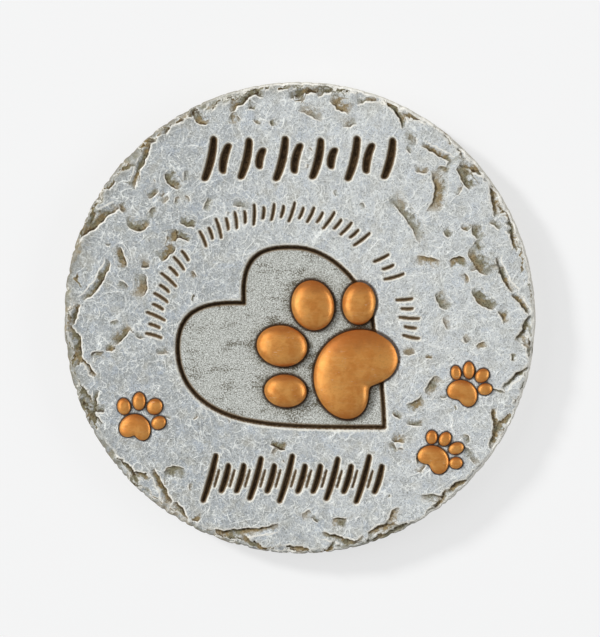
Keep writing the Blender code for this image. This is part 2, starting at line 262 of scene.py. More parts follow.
def arc_row(kind):
    """Groups of strokes evenly spaced round an arc, each leaning by the same angle from the arc's radius."""
    rows = []
    for first, last in kind["groups"]:
        gaps = round((first - last) / kind["pitch"])
        for i in range(gaps + 1):
            bearing = first + (last - first) * i / gaps
            across = kind["centre"][0] + kind["radius"] * math.cos(math.radians(bearing))
            up = kind["centre"][1] + kind["radius"] * math.sin(math.radians(bearing))
            rows.append(stroke(kind, i, across, up, bearing - 90 + kind["lean"], kind["bow"]))
    return rows


def stroke_frame(row, x, y):
    """For each point, its distance from the stroke's middle line, its side of it, and the stroke's half width there.

    The middle line is v = bow (1 - (2 u / length)^2). The width narrows to 0.8 towards the ends, which are round.
    """
    cx, cy, length, lean, bow, width, depth = row
    along = (-math.sin(math.radians(lean)), math.cos(math.radians(lean)))
    u = (x - cx) * along[0] + (y - cy) * along[1]
    v = (x - cx) * along[1] - (y - cy) * along[0]
    share = np.clip(2 * u / length, -1, 1)
    side = v - bow * (1 - share**2)
    past = np.maximum(np.abs(u) - (length - width) / 2, 0)
    half = width / 2 * (1 - 0.2 * share**2)
    return np.hypot(side, past), side, half, (along[1], -along[0])


strokes = straight_row(BOLD) + arc_row(FINE) + straight_row(BRUSH) + straight_row(HAIR)
for row in strokes:
    near = np.hypot(x - row[0], y - row[1]) < row[2]
    gap, side, half, across = stroke_frame(row, x, y)
    straight = near & (gap < half + SPACING) & (np.abs(gap - np.abs(side)) < 1e-6)
    snap(side, across, straight)
    snap(side - half, across, straight, 0.4)
    snap(side + half, across, straight, 0.4)
print(f"strokes: {len(strokes)}")

# %% [markdown]
# Stone that is split or cast in a broken mould shows flakes: a short cliff, and in front of it a floor that falls
# away. Round the rim the floors fall outwards. On the face they are scoops, whose floor climbs back to the face.
# Each is read off the photo as a place, a facing, a length, and the bow of its cliff. Small flakes of seeded random
# sizes fill the rim between them.

# %% Flakes round the rim, read clockwise from the left: bearing, inset, length, turn of the low side, bow
RIM_CHIPS = (
    (179, 6, 12, -9, 0.5), (172, 1, 6, 0, 0.5), (170, 16.5, 26, -25, 3), (168, 3.5, 19, 25, -0.5),
    (158, 1.5, 12, 6, 0.5), (155, 6, 31, -22, -1), (152, 3, 22, 7, 0.5), (140, 3, 15, -20, -0.5),
    (135, 7.5, 29, 22, 0), (131, 1.5, 10, -5, 0), (122, 3, 9, -11, 0.5), (116, 2, 9, 21, 0),
    (108, 2.5, 11, -14, 0.5), (102, 4.5, 27, 18, -1), (100, 1.5, 11, -8, 0.5), (88, 4.5, 18, 10, -2),
    (79, 2.5, 15, 7, 0.5), (65, 4, 18, -24, -1.5), (60, 2.5, 14, 13, -1), (52, 1.5, 14, -12, -1),
    (50, 10, 19, 9, 0), (47, 2, 8, -18, 0.5), (40, 3.5, 18, 24, 1), (32, 4.5, 19, -21, 1),
    (28, 3, 10, 10, 0), (22, 4, 21, -10, 1), (15, 3.5, 16, -12, 0.5), (12, 13.5, 21, 14, 2),
    (7, 1, 16, -6, 0.5), (4, 6.5, 13, 28, -0.5), (-2, 5.5, 15, -21, -1), (-7, 1.5, 10, 4, 1),
    (-14, 5.5, 20, -31, 1), (-18, 1, 13, 10, -1), (-27, 8, 11, 36, 0.5), (-28, 5, 25, -5, 3),
    (-46, 3.5, 13, -17, 1.5), (-52, 3, 14, 18, 0.5), (-67, 2.5, 32, 1, 0.5), (-68, 6, 17, -4, 3),
    (-79, 6, 20, -22, 0.5), (-83, 2, 11, 25, 0), (-90, 3.5, 15, -7, 2.5), (-99, 2.5, 26, -14, -0.5),
    (-105, 7.5, 40, 18, -2.5), (-121, 5.5, 12, -22, 2.5), (-128, 2.5, 10, 7, 0.5), (-129, 9, 21, -21, 0),
    (-135, 7, 9, 15, 0.5), (-138, 4.5, 21, 0, 4), (-158, 2, 9, -16, 0), (-155, 5, 24, -24, -1),
    (-161, 4.5, 15, 18, 1.5), (-168, 8.5, 16, 26, 0), (-170, 4, 11, -26, 0.5), (-173, 7, 25, 1, 5.5),
)
# Scoops of the face: x and y as shares of the face's radius, facing, length, bow, reach of the floor, stain
SCOOPS = (
    (-0.56, 0.58, 40, 12, 3, 6, 0.8), (-0.62, 0.53, 120, 7, 0.5, 5, 0.5), (-0.69, 0.38, 92, 13, 5, 6, 0.8),
    (-0.48, 0.40, 75, 9, 1, 5, 0.8), (-0.52, 0.36, 180, 7, 1, 5, 1.0), (-0.50, 0.34, 67, 8, 1, 4, 0.7),
    (-0.55, 0.27, 132, 11, 2, 6, 0.9), (-0.75, 0.27, -161, 12, 1, 5, 0.8), (-0.65, 0.14, 172, 13, 4, 7, 0.5),
    (-0.29, 0.86, 9, 6, 0, 3, 0.6), (-0.25, 0.48, 72, 9, 0, 4, 0.3), (-0.75, -0.08, 136, 13, 1, 5, 0.7),
    (0.17, 0.90, 55, 13, 1, 6, 0.7), (0.05, 0.87, 67, 14, 0.5, 5, 0.3), (0.58, 0.55, -5, 22, -4, 7, 0.6),
    (0.46, 0.43, 34, 30, -1.5, 6, 0.5), (0.70, 0.60, 28, 14, 1, 5, 1.0), (0.63, 0.36, 45, 5, 1.5, 4, 0.5),
    (0.71, 0.38, 66, 5, 2, 4, 0.6), (0.75, 0.37, 21, 9, 1, 5, 0.6), (0.75, 0.23, 35, 18, 5, 8, 0.7),
    (0.56, 0.27, -101, 13, 1, 5, 0.7), (0.68, 0.27, -78, 9, 2.5, 5, 0.9), (0.60, 0.07, 29, 11, 2.5, 6, 0.5),
    (0.78, 0.07, 50, 16, 2.5, 6, 0.9), (0.87, 0.01, 27, 8, 0, 4, 0.6), (0.56, -0.27, -36, 12, 2.5, 6, 0.5),
    (0.50, -0.35, -59, 10, -1, 5, 0.6), (0.42, -0.42, 53, 6, 1, 3, 0.6), (0.50, -0.46, 81, 9, 0.5, 4, 0.5),
    (0.43, -0.53, 77, 8, 1, 4, 0.6), (0.18, -0.86, -96, 8, 0, 4, 0.7), (-0.09, -0.56, 72, 9, 1, 4, 1.0),
    (-0.54, -0.64, -81, 12, 3, 6, 0.6), (-0.42, 0.84, 70, 8, 1.5, 4, 0.8), (-0.20, 0.90, 80, 4, 0.5, 3, 0.5),
    (-0.18, 0.84, 60, 5, 1, 3, 0.4), (-0.12, 0.84, 20, 4, 0.5, 3, 0.6), (0.47, 0.77, 60, 6, 1, 4, 0.4),
    (0.84, 0.40, 60, 7, 0, 3, 0.5), (0.76, 0.31, 30, 6, 1, 5, 0.7), (0.78, -0.10, -60, 6, 1, 3, 0.5),
    (0.91, -0.16, 0, 5, 0.5, 2.5, 0.7), (0.86, -0.30, -110, 8, 0, 2, 0.5), (0.58, -0.75, -85, 13, 0.5, 3, 0.5),
    (0.40, -0.84, -37, 11, 0.5, 3, 0.5), (-0.44, -0.87, 90, 5, 1, 3, 0.8), (-0.81, -0.14, 100, 6, 1, 4, 0.6),
    (-0.80, -0.01, -60, 5, 0.5, 3, 0.3), (-0.66, 0.22, 90, 5, 0.5, 4, 0.5),
)
CALM_BEARING = -10
CHIP_DEPTH = 1.5
CHIP_SLOPE = 0.42
SMALL_SLOPE = 0.25
SCOOP_DEPTH = 0.62
SMALL_CHIPS = 110
PITS = 90


def at_rim(bearing, inset):
    """The spot at a bearing in degrees that lies inset from the face's edge."""
    angle = math.radians(bearing)
    return (FACE_RADIUS - inset) * math.cos(angle), (FACE_RADIUS - inset) * math.sin(angle)


def along_bearing(bearing, x, y):
    """How far points lie towards a bearing in degrees: x cos(bearing) + y sin(bearing)."""
    return x * math.cos(math.radians(bearing)) + y * math.sin(math.radians(bearing))


def flake_rows():
    """Every flake as (x, y, facing in degrees, length, bow, depth, slope, reach, stain).

    The floor lies depth below the cliff's head and climbs back within reach, while slope lowers it outwards.
    """
    dice = np.random.default_rng(5)
    rows = []
    for bearing, inset, length, turn, bow in RIM_CHIPS:
        depth = CHIP_DEPTH * dice.uniform(0.75, 1.25)
        slope = CHIP_SLOPE * dice.uniform(0.6, 1.0) * (0.25 if inset > 2.5 else 1)
        reach = dice.uniform(1.5, 2.9) + 0.05 * length
        brown = dice.uniform(0.75, 1.0)
        rows.append((*at_rim(bearing, inset), bearing + turn, length, bow, depth, slope, reach, brown))
    for _ in range(SMALL_CHIPS):
        bearing = dice.uniform(-180, 180)
        inset = dice.uniform(0.3, 3.5)
        facing = bearing + dice.uniform(-32, 32)
        length, bow, depth = dice.uniform(5, 16), dice.uniform(0, 1), dice.uniform(0.6, 1.3)
        reach = dice.uniform(1.5, 3)
        brown = dice.uniform(0.4, 1.0)
        calm = 0.5 if math.cos(math.radians(bearing - CALM_BEARING)) > 0.3 else 1.0
        spot = at_rim(bearing, inset)
        rows.append((*spot, facing, length, bow, depth * calm, SMALL_SLOPE * calm, reach, brown * calm))
    for sx, sy, facing, length, bow, reach, brown in SCOOPS:
        depth = SCOOP_DEPTH * (0.6 + 0.7 * brown)
        rows.append((sx * FACE_RADIUS, sy * FACE_RADIUS, facing, length, bow, depth, 0.0, 1.15 * reach, brown))
    for _ in range(PITS):
        bearing = dice.uniform(0, 2 * math.pi)
        radius = FACE_RADIUS * math.sqrt(dice.uniform(0.16, 0.92))
        length = dice.uniform(2.5, 8)
        bow = dice.uniform(0.1, 0.3) * length
        depth = dice.uniform(0.25, 0.6)
        reach = dice.uniform(0.35, 0.7) * length
        facing = dice.uniform(-180, 180)
        brown = dice.uniform(0.1, 0.55)
        spot = radius * math.cos(bearing), radius * math.sin(bearing)
        rows.append((*spot, facing, length, bow, depth, 0.0, reach, brown))
    return rows


def flake_frame(row, x, y):
    """For each point, its place t from -1 to 1 along the cliff, and its distance d in front of it.

    The cliff bends by bow (1 - sqrt(1 - t^2)), and noise makes it ragged.
    """
    cx, cy, facing, length, bow = row[:5]
    out = (math.cos(math.radians(facing)), math.sin(math.radians(facing)))
    t = (-(x - cx) * out[1] + (y - cy) * out[0]) / (length / 2)
    bend = bow * (1 - np.sqrt(np.clip(1 - t * t, 0, 1)))
    ahead = (x - cx) * out[0] + (y - cy) * out[1] - bend
    return t, ahead + ragged, out


def raggedness():
    """How far noise of two sizes shifts a cliff at each point."""
    return 0.9 * noise(x, y, 5.5, 71) + 0.5 * noise(x, y, 2.2, 72)


ragged = raggedness()
flakes = flake_rows()
for row in flakes:
    t, ahead, out = flake_frame(row, x, y)
    snap(ahead, out, (np.abs(t) < 0.96) & (np.abs(ahead) < SPACING))
ragged = raggedness()
print(f"flakes: {len(flakes)}, of them {len(RIM_CHIPS)} large ones round the rim; {moved.sum()} points on lines")

# %% [markdown]
# The points are where they will stay, so the distances are measured again. Distances are worth keeping. They change
# evenly across a triangle, so a shader that is handed a distance can draw an edge far finer than the mesh, while a
# mask of 0 and 1 would show the triangles.

# %% Distances from the carving
LIP_HEIGHT = 0.12
LIP_AT = 0.45
LIP_WIDTH = 0.4
in_heart, _ = distance_inside(heart_line, x, y)
past_stroke = np.full(len(x), 4.0)
groove = np.zeros(len(x))
for row in strokes:
    near = np.hypot(x - row[0], y - row[1]) < row[2]
    gap, _, half, _ = stroke_frame(row, x[near], y[near])
    past_stroke[near] = np.minimum(past_stroke[near], gap - half)
    share = gap / half
    groove[near] = np.maximum(groove[near], row[6] * np.clip(1 - share**2.2, 0, 1) ** 0.8)
stroke_lip = LIP_HEIGHT * np.exp(-(((past_stroke - LIP_AT) / LIP_WIDTH) ** 2))
clear = step(0.2, 3.0, past_stroke) * (1 - step(-3.2, -1.8, in_heart))
print(f"points in strokes: {(past_stroke < 0).sum()}, in the heart: {(in_heart > 0).sum()}")

# %% [markdown]
# Now the height of every point. Each kind of carving lowers the face by its own amount, and where two meet, the
# deeper one wins, as it would under a chisel. The same pass keeps what the paint needs of each flake: how far a point
# is in front of its cliff, how far across its floor, and how strong the flake is there.
#
# The edge of the face is also rubbed away a little, by a width that wanders along the rim and is less on the right.

# %% The relief of the face
WORN_WIDTH = 2.6
from_rim = FACE_RADIUS - np.hypot(x, y)
calm = step(-0.2, 0.6, along_bearing(CALM_BEARING, x, y) / FACE_RADIUS)
worn = (WORN_WIDTH + 2.2 * noise(x, y, 15, 75) + 1.3 * noise(x, y, 5, 76)) * (1 - 0.45 * calm)
past_worn = np.maximum(worn - from_rim, 0)
lowered = 0.6 * past_worn + 0.4 * step(0, 0.6, past_worn)
stain = 0.75 * step(0, 0.5, past_worn) * step(-0.5, 0.3, noise(x, y, 5, 77))
past_cliff = np.full(len(x), -3.0)
floor_share = np.full(len(x), 2.0)
cliff_power = np.zeros(len(x))

for row in flakes:
    depth, slope, reach, brown = row[5:]
    t, ahead, _ = flake_frame(row, x, y)
    beside = np.abs(t) < 1
    taper = np.clip(1 - t * t, 0, 1) ** 0.5
    here = clear if slope == 0 else step(-0.5, 1.0, clear)
    share = ahead / reach
    fill = np.clip(1 - np.maximum(share, 0) ** 1.6, 0, 1)
    drop = (depth * taper * fill + slope * np.maximum(ahead, 0) * taper) * here * step(0, 0.5, ahead) * beside
    deeper = (drop > lowered) & (ahead > 0)
    lowered = np.maximum(lowered, drop)
    behind = beside & (ahead <= 0) & (ahead > past_cliff) & (past_cliff <= 0)
    power = taper * (0.3 + 0.7 * brown) * here
    for values, own in ((past_cliff, ahead), (floor_share, share), (cliff_power, power)):
        values[deeper | behind] = own[deeper | behind]
cliff_power *= step(-1.6, -0.8, past_cliff)

# Each pair is a distance inside the heart's line, and the depth of its wall, groove or floor there.
HEART_PROFILE = (
    (-4.0, 0.0), (-2.6, -0.12), (WALL_HEAD, 0.05), (WALL_FOOT, 1.9), (0.0, HEART_DEPTH + HEART_GROOVE),
    (0.35, HEART_DEPTH + 0.5 * HEART_GROOVE), (0.9, HEART_DEPTH), (2.5, HEART_DEPTH),
)
places, depths = zip(*HEART_PROFILE)
sunk = np.interp(in_heart, places, depths)
lowered = np.maximum(lowered, groove) - stroke_lip
lowered = np.where(in_heart > WALL_HEAD, np.maximum(lowered, sunk), lowered + sunk)
print(f"relief: up to {lowered.max():.2f} mm deep")

# %% [markdown]
# The skin of the stone between the carving is crinkled, like plaster pulled off a rough mould: soft lumps, broad
# plates that lie a hair higher or lower than their neighbours, and two nets of low ridges over them. A ridge runs
# where noise crosses zero, so its place is kept as the value of the noise, and the shader can draw a thin pale line
# along it. The ridges are kept off the heart's floor, which is only sandy.

# %% The crinkled skin
WIDE_RIDGE = 0.20
FINE_RIDGE = 0.12
PLATE_STEP = 0.22
LUMP_HEIGHT = 0.22
SKIN_SINK = 0.12
SKIN_LIMIT = 0.5


def crease_value(x, y, size, seed):
    """Warped noise. Thin ridges run where it is 0."""
    wx = x + 0.4 * size * noise(x, y, 1.2 * size, seed + 11)
    wy = y + 0.4 * size * noise(x, y, 1.2 * size, seed + 12)
    return noise(wx, wy, size, seed)


wide_crease = crease_value(x, y, 9, 41)
fine_crease = crease_value(x, y, 4.6, 51)
wide_power = step(0.05, 0.75, noise(x, y, 11, 31))
fine_power = step(-0.8, 0.4, noise(x, y, 7, 32))
quiet = (1 - step(-2.2, -1.2, in_heart)) * step(-0.4, 0.5, past_stroke)
lumps = fractal(x, y, 9, 61, 4)
plate = crease_value(x, y, 24, 131)
plate_power = step(-0.5, 0.3, noise(x, y, 17, 33))
skin = WIDE_RIDGE * np.exp(-((wide_crease / 0.08) ** 2)) * wide_power
skin += FINE_RIDGE * np.exp(-((fine_crease / 0.13) ** 2)) * fine_power
skin += PLATE_STEP * (step(-0.05, 0.05, plate) - 0.5) * plate_power
skin = quiet * (skin + LUMP_HEIGHT * lumps + 0.05 * noise(x, y, 2.0, 83))
skin += (1 - quiet) * (0.05 * noise(x, y, 2.5, 81) + 0.03 * noise(x, y, 1.5, 82))
height = np.minimum(FACE_HEIGHT - SKIN_SINK - lowered + skin, FACE_HEIGHT + SKIN_LIMIT)
print(f"face: {height.min():.2f} to {height.max():.2f} mm high")

# %% [markdown]
# The wall swells: it is widest low down and draws in a little towards the face, and small nicks break its upper edge.
# The last rings of the face are drawn out to meet it. Then come the rings of the wall itself, chipped and streaked in
# layers, the bevel at the foot and the flat underside, and the mesh is closed. A ring just inside the foot keeps the
# bevel's soft shading off the underside. Noise that runs along the wall doesn't close on itself after a full turn, so
# the nicks fade out on both sides of the seam.

# %% The wall and the underside
RIM_POINTS = 6 * RINGS
WALL_ROWS = 8
EDGE_RINGS = 12
WALL_GAP = 0.1
WIDEST_AT = 6.0
EDGE_DRAW = 0.9


def wall_radius(z):
    """The wall's radius at a height. It swells evenly, widest at WIDEST_AT, and draws in by EDGE_DRAW at the face."""
    return BASE_RADIUS - WALL_GAP - EDGE_DRAW * ((z - WIDEST_AT) / (FACE_HEIGHT - WIDEST_AT)) ** 2


def band(upper, lower):
    """Two triangles for each gap between closed rows of points, upper[k] above lower[k]."""
    upper_next, lower_next = np.roll(upper, -1, -1), np.roll(lower, -1, -1)
    corners = ([upper, lower, lower_next], [upper, lower_next, upper_next])
    return np.concatenate([np.stack(three, -1).reshape(-1, 3) for three in corners])


def fan(tip, row):
    """A triangle from one point to each span of a closed row."""
    return np.stack([np.full(len(row), tip), row, np.roll(row, -1)], 1)


rim = slice(first_of(RINGS), len(x))
bearing = np.arctan2(y, x)
rim_bearing = 2 * np.pi * np.arange(RIM_POINTS) / RIM_POINTS
along = rim_bearing * BASE_RADIUS
blend_ends = step(0, 12, np.minimum(along, 2 * np.pi * BASE_RADIUS - along))
level = np.zeros(len(along))
nick = 0.7 * np.exp(-((crease_value(along, level, 11, 121) / 0.10) ** 2))
nick = nick + 0.5 * np.abs(noise(along, level, 14, 125)) + 0.15 * np.abs(noise(along, level, 4, 127))
nick = nick * blend_ends
rim_spread = (wall_radius(height[rim]) - nick) / np.hypot(x[rim], y[rim])
full_turn = 2 * np.pi
spread = np.interp(bearing % full_turn, np.append(rim_bearing, full_turn), np.append(rim_spread, rim_spread[0]))
pull = 1 + (spread - 1) * step(RINGS - EDGE_RINGS, RINGS, ring)
x, y = x * pull, y * pull

edge_z = height[rim]
cos_edge, sin_edge = np.cos(rim_bearing), np.sin(rim_bearing)
wall_x, wall_y, wall_z, wall_split = [], [], [], []
for row in range(1, WALL_ROWS + 1):
    share = row / WALL_ROWS
    z = edge_z + (FOOT_BEVEL - edge_z) * share
    split = np.exp(-((crease_value(along, 1.4 * z + 0.25 * along, 9, 91) / 0.12) ** 2))
    chipped = 0.5 * split + 0.3 * np.abs(fractal(along, 1.6 * z, 6, 95)) + 0.1
    radius = wall_radius(z) - chipped * math.sin(math.pi * share) ** 0.6 - nick * (1 - share)
    streaks = noise(along / 7, z / 1.3, 1, 97) + 0.5 * noise(along / 3, z / 0.8, 1, 98)
    wall_split.append(np.maximum(step(0.1, 0.6, streaks), split))
    wall_x.append(radius * cos_edge)
    wall_y.append(radius * sin_edge)
    wall_z.append(z)
foot = BASE_RADIUS - FOOT_BEVEL
inner_foot = foot - 1.0
stone_x = np.concatenate([x, *wall_x, foot * cos_edge, inner_foot * cos_edge, [0.0]])
stone_y = np.concatenate([y, *wall_y, foot * sin_edge, inner_foot * sin_edge, [0.0]])
stone_z = np.concatenate([height, *wall_z, np.zeros(2 * RIM_POINTS), [0.0]])

side_grid = first_of(RINGS) + np.arange((WALL_ROWS + 3) * RIM_POINTS).reshape(-1, RIM_POINTS)
underside = fan(len(stone_x) - 1, side_grid[-1][::-1])
triangles = np.concatenate([face_triangles, band(side_grid[:-1], side_grid[1:]), underside])
print(f"stone: {len(stone_x)} points, {len(triangles)} triangles")

# %% [markdown]
# Paint shows a carved surface by its hollows and its edges: a thin dark wash runs into the hollows, and a dry brush
# leaves pale paint on the edges. Both can be measured. The height is blurred over the mesh by giving each point the
# mean of its neighbours, again and again, and then compared: below the blur is a hollow and above it is an edge.
# Masks also mark where light and shade are painted on: painted shade on the left side, painted light on the upper
# right, and painted shade on the strip of the rim that faces the main light, which also takes less cream, so that it
# doesn't glare. The underside is marked too: it is bare cement.

# %% Hollows and edges
SHADY_BEARING = 190
SUNNY_BEARING = 25
KEY_BEARING = 148
edges = np.concatenate([triangles[:, [0, 1]], triangles[:, [1, 2]], triangles[:, [2, 0]]])
neighbours = np.bincount(edges[:, 0], minlength=len(stone_x))


def blurred(values, times):
    """The values after each point has taken half of its neighbours' mean, so many times."""
    for _ in range(times):
        total = np.bincount(edges[:, 0], weights=values[edges[:, 1]], minlength=len(values))
        values = 0.5 * values + 0.5 * total / neighbours
    return values


side_stain = np.concatenate([0.1 + 0.8 * split for split in wall_split] + [np.full(2 * RIM_POINTS + 1, 0.3)])
# Painted shade: the left side of the face is painted darker.
shady = step(-0.15, 0.5, along_bearing(SHADY_BEARING, x, y) / BASE_RADIUS)
inset = BASE_RADIUS - np.hypot(stone_x, stone_y)
# Painted shade: the strip of the rim that faces the main light is painted darker, and gets less cream.
to_key = along_bearing(KEY_BEARING, stone_x, stone_y) / BASE_RADIUS
glaring = step(11, 3, inset) * step(0.0, 0.7, to_key)
under = np.zeros(len(stone_x))
under[len(x) + WALL_ROWS * RIM_POINTS:] = 1
# Painted light: the upper right of the stone is painted paler.
sunny = step(-0.2, 0.7, along_bearing(SUNNY_BEARING, stone_x, stone_y) / BASE_RADIUS)


def all_points(face_values, rest):
    """Values for the whole stone from those of the face, with one value for the wall and the underside."""
    return np.concatenate([face_values, np.full(len(stone_x) - len(face_values), float(rest))])


near_blur = blurred(stone_z, 2)
wide_blur = blurred(stone_z, 24)
edge_pale = step(0.02, 0.22, stone_z - near_blur)
hollow = step(0.10, 0.75, wide_blur - stone_z)
hollow[len(x):] = 0
edge_pale[len(x):] = 0

# %% [markdown]
# A mesh is made from the arrays in one go. Each mask becomes an attribute on the points, which the material reads by
# its name.

# %% Mesh from arrays
def mesh_object(name, points, faces, masks):
    """An object from points in mm and triangles, with smooth faces and one float attribute for each mask."""
    mesh = bpy.data.meshes.new(name)
    mesh.vertices.add(len(points))
    mesh.vertices.foreach_set("co", (points * MM).astype(np.float32).ravel())
    mesh.loops.add(3 * len(faces))
    mesh.loops.foreach_set("vertex_index", faces.astype(np.int32).ravel())
    mesh.polygons.add(len(faces))
    mesh.polygons.foreach_set("loop_start", np.arange(0, 3 * len(faces), 3, dtype=np.int32))
    mesh.update()
    mesh.validate()
    mesh.polygons.foreach_set("use_smooth", np.ones(len(mesh.polygons), bool))
    for mask, values in masks.items():
        layer = mesh.attributes.new(mask, "FLOAT", "POINT")
        layer.data.foreach_set("value", values.astype(np.float32))
    made = bpy.data.objects.new(name, mesh)
    bpy.context.scene.collection.objects.link(made)
    return made


# %% [markdown]
# The pads are puffed ovals: low in the middle of their height but steep at the foot, like a drop of thick paint. A
# toe is an ellipse in plan. A heel's reach changes with the angle a from its notch:
# mean (1 + s cos a + t sin a - n exp(-(a / 40)^2)). The height over the plan is rise (1 - r^2.8)^(1/2), and each pad
# goes on a little below the stone's surface, so no gap shows.

# %% The pads
# Toes: x and y of the middle and the two radii, as shares of the face's radius, and the turn in degrees.
# Heels: x, y and the mean radius, as such shares, then the notch's bearing in degrees and s, t and n of the formula.
TOES = (
    (0.063, 0.060, 0.093, 0.110, 12), (0.263, 0.069, 0.074, 0.094, -4),
    (-0.070, -0.116, 0.111, 0.090, -8), (-0.055, -0.310, 0.093, 0.072, -4),
)
TRACK_TOES = (
    (-0.755, -0.380, 0.029, 0.036, 8), (-0.689, -0.357, 0.028, 0.039, -3), (-0.621, -0.380, 0.036, 0.033, 50),
    (-0.604, -0.450, 0.033, 0.028, 30), (0.679, -0.228, 0.022, 0.031, 8), (0.734, -0.217, 0.024, 0.037, 0),
    (0.791, -0.240, 0.033, 0.027, 48), (0.804, -0.298, 0.031, 0.025, 10), (0.576, -0.507, 0.024, 0.030, -5),
    (0.633, -0.514, 0.032, 0.025, 60), (0.681, -0.554, 0.034, 0.025, 22), (0.680, -0.617, 0.029, 0.025, 5),
)
HEEL = (0.235, -0.239, 0.204, -35, 0.16, 0.06, 0.70)
TRACK_HEELS = (
    (-0.703, -0.478, 0.069, -105, 0.07, -0.06, 0.64), (0.711, -0.310, 0.066, -120, 0.27, 0.00, 0.65),
    (0.585, -0.595, 0.070, -125, 0.26, 0.05, 0.73),
)
NOTCH_SPREAD = 40
PAD_FLATNESS = 2.8
TOE_RISE = 4.6
HEEL_RISE = TOP - HEART_FLOOR
TRACK_TOE_RISE = 1.7
TRACK_HEEL_RISE = 2.0
HEEL_GRID, TOE_GRID = (220, 60), (120, 40)
TRACK_HEEL_GRID, TRACK_TOE_GRID = (96, 24), (56, 18)
PAD_SINK, TRACK_SINK = 0.6, 0.9
PAD_SETTLE = 0.1


def toe_reach(row, angle):
    """The radius of a turned ellipse at each angle."""
    a, b, turn = row[2] * FACE_RADIUS, row[3] * FACE_RADIUS, math.radians(row[4])
    return a * b / np.hypot(b * np.cos(angle - turn), a * np.sin(angle - turn))


def heel_reach(row, angle):
    """The radius of a heel with two lobes at each angle."""
    mean, notch_at, swell, skew, notch = row[2] * FACE_RADIUS, row[3], row[4], row[5], row[6]
    away = (np.degrees(angle) - notch_at + 180) % 360 - 180
    turn = np.radians(away)
    return mean * (1 + swell * np.cos(turn) + skew * np.sin(turn) - notch * np.exp(-((away / NOTCH_SPREAD) ** 2)))


def pad_mesh(row, reach, base, rise, columns, rows, sink):
    """A pad as rings from its top to its foot, then straight down by sink, and a flat bottom."""
    angle = 2 * np.pi * np.arange(columns) / columns
    share = np.append(np.sin(np.linspace(0, np.pi / 2, rows + 1)[1:]), 1.0)[:, None]
    r = share * reach(row, angle)
    middle = row[0] * FACE_RADIUS, row[1] * FACE_RADIUS
    pz = base + rise * np.sqrt(np.clip(1 - share**PAD_FLATNESS, 0, 1)) * np.ones_like(r)
    pz[-1] -= sink
    sides = [middle[0] + r * np.cos(angle), middle[1] + r * np.sin(angle), pz]
    ends = [[*middle, base + rise], [*middle, base - sink]]
    points = np.concatenate([np.stack(sides, -1).reshape(-1, 3), ends])
    grid = np.arange(r.size).reshape(r.shape)
    faces = [band(grid[:-1], grid[1:]), fan(r.size, grid[0]), fan(r.size + 1, grid[-1][::-1])]
    edge = np.append(share * np.ones_like(r), [0.0, 1.0])
    upper = np.append(share * np.sin(angle), [0.0, 0.0])
    return points, np.concatenate(faces), edge, upper


pad_rows = [(HEEL, heel_reach, HEART_FLOOR, HEEL_RISE, *HEEL_GRID, PAD_SINK)]
pad_rows += [(row, toe_reach, HEART_FLOOR, TOE_RISE, *TOE_GRID, PAD_SINK) for row in TOES]
pad_rows += [(row, toe_reach, FACE_HEIGHT, TRACK_TOE_RISE, *TRACK_TOE_GRID, TRACK_SINK) for row in TRACK_TOES]
pad_rows += [(row, heel_reach, FACE_HEIGHT, TRACK_HEEL_RISE, *TRACK_HEEL_GRID, TRACK_SINK) for row in TRACK_HEELS]
pad_parts = [pad_mesh(*entry) for entry in pad_rows]
pad_points, pad_faces, pad_edge, pad_upper = (np.concatenate(arrays) for arrays in zip(*pad_parts))
firsts = np.cumsum([0] + [len(points) for points, *_ in pad_parts])
pad_faces += np.repeat(firsts[:-1], [len(faces) for _, faces, *_ in pad_parts])[:, None]
pad_x, pad_y = pad_points[:, 0], pad_points[:, 1]
dent = 0.10 * noise(pad_x, pad_y, 9, 101) + 0.03 * noise(pad_x, pad_y, 3, 102)
pad_points[:, 2] += (dent - PAD_SETTLE) * (1 - pad_edge**3)
pad_masks = {"edge": pad_edge, "upper": pad_upper}
pads = mesh_object("copper_pads", pad_points, pad_faces, pad_masks)
print(f"pads: {len(pad_rows)}, {len(pads.data.polygons)} triangles")

# %% [markdown]
# The wash also gathers round the foot of each pad. How far a point is outside a pad's outline along the ray from the
# pad's middle is near enough to the true distance.

# %% Wash round the pads
TRACK_WASH = 1.6
past_pad = np.full(len(x), 30.0)
for row, reach, base, *_ in pad_rows:
    dx, dy = x - row[0] * FACE_RADIUS, y - row[1] * FACE_RADIUS
    outside = np.hypot(dx, dy) - reach(row, np.arctan2(dy, dx))
    if base != HEART_FLOOR:
        outside = outside * TRACK_WASH
    past_pad = np.minimum(past_pad, outside)

# %% [markdown]
# Most masks were worked out for the face alone. On the wall and the underside each gets one value, mostly the one
# that leaves its paint out.

# %% The stone's mesh
face_masks = {
    "in_heart": (np.clip(in_heart, -8, 8), -8), "past_stroke": (past_stroke, 4), "past_pad": (past_pad, 30),
    "wide_crease": (wide_crease, 1), "fine_crease": (fine_crease, 1), "plate": (plate, 1),
    "wide_power": (wide_power, 0), "fine_power": (fine_power, 0), "plate_power": (plate_power, 0),
    "past_cliff": (np.clip(past_cliff, -3, 6), -3), "floor_share": (np.clip(floor_share, -1, 2), 2),
    "cliff_power": (cliff_power, 0), "lumps": (lumps, 0), "shady": (shady, 0),
    "side": (step(-1.2, -0.2, -from_rim), 1),
}
masks = {name: all_points(values, rest) for name, (values, rest) in face_masks.items()}
masks.update(sunny=sunny, glaring=glaring * (1 - under), under=under, edge_pale=edge_pale, hollow=hollow)
masks["stain"] = np.concatenate([stain, side_stain])
stone = mesh_object("stone", np.stack([stone_x, stone_y, stone_z], 1), triangles, masks)
print(f"masks: {len(masks)}")

# %% [markdown]
# Materials. A node tree is easier to read as a formula, so a small class wraps a socket and lets it be added,
# multiplied and so on. Each operator adds the Math node that does it. A second class holds the tree, with one method
# for adding any node.

# %% Shader maths
def math_method(kind, swapped=False):
    """A method of a wire that adds one Math node, with the wire as its second number where swapped."""

    def method(self, other=0.0):
        first, second = (other, self) if swapped else (self, other)
        return self.finish.node("ShaderNodeMath", {"operation": kind}, {0: first, 1: second})

    return method


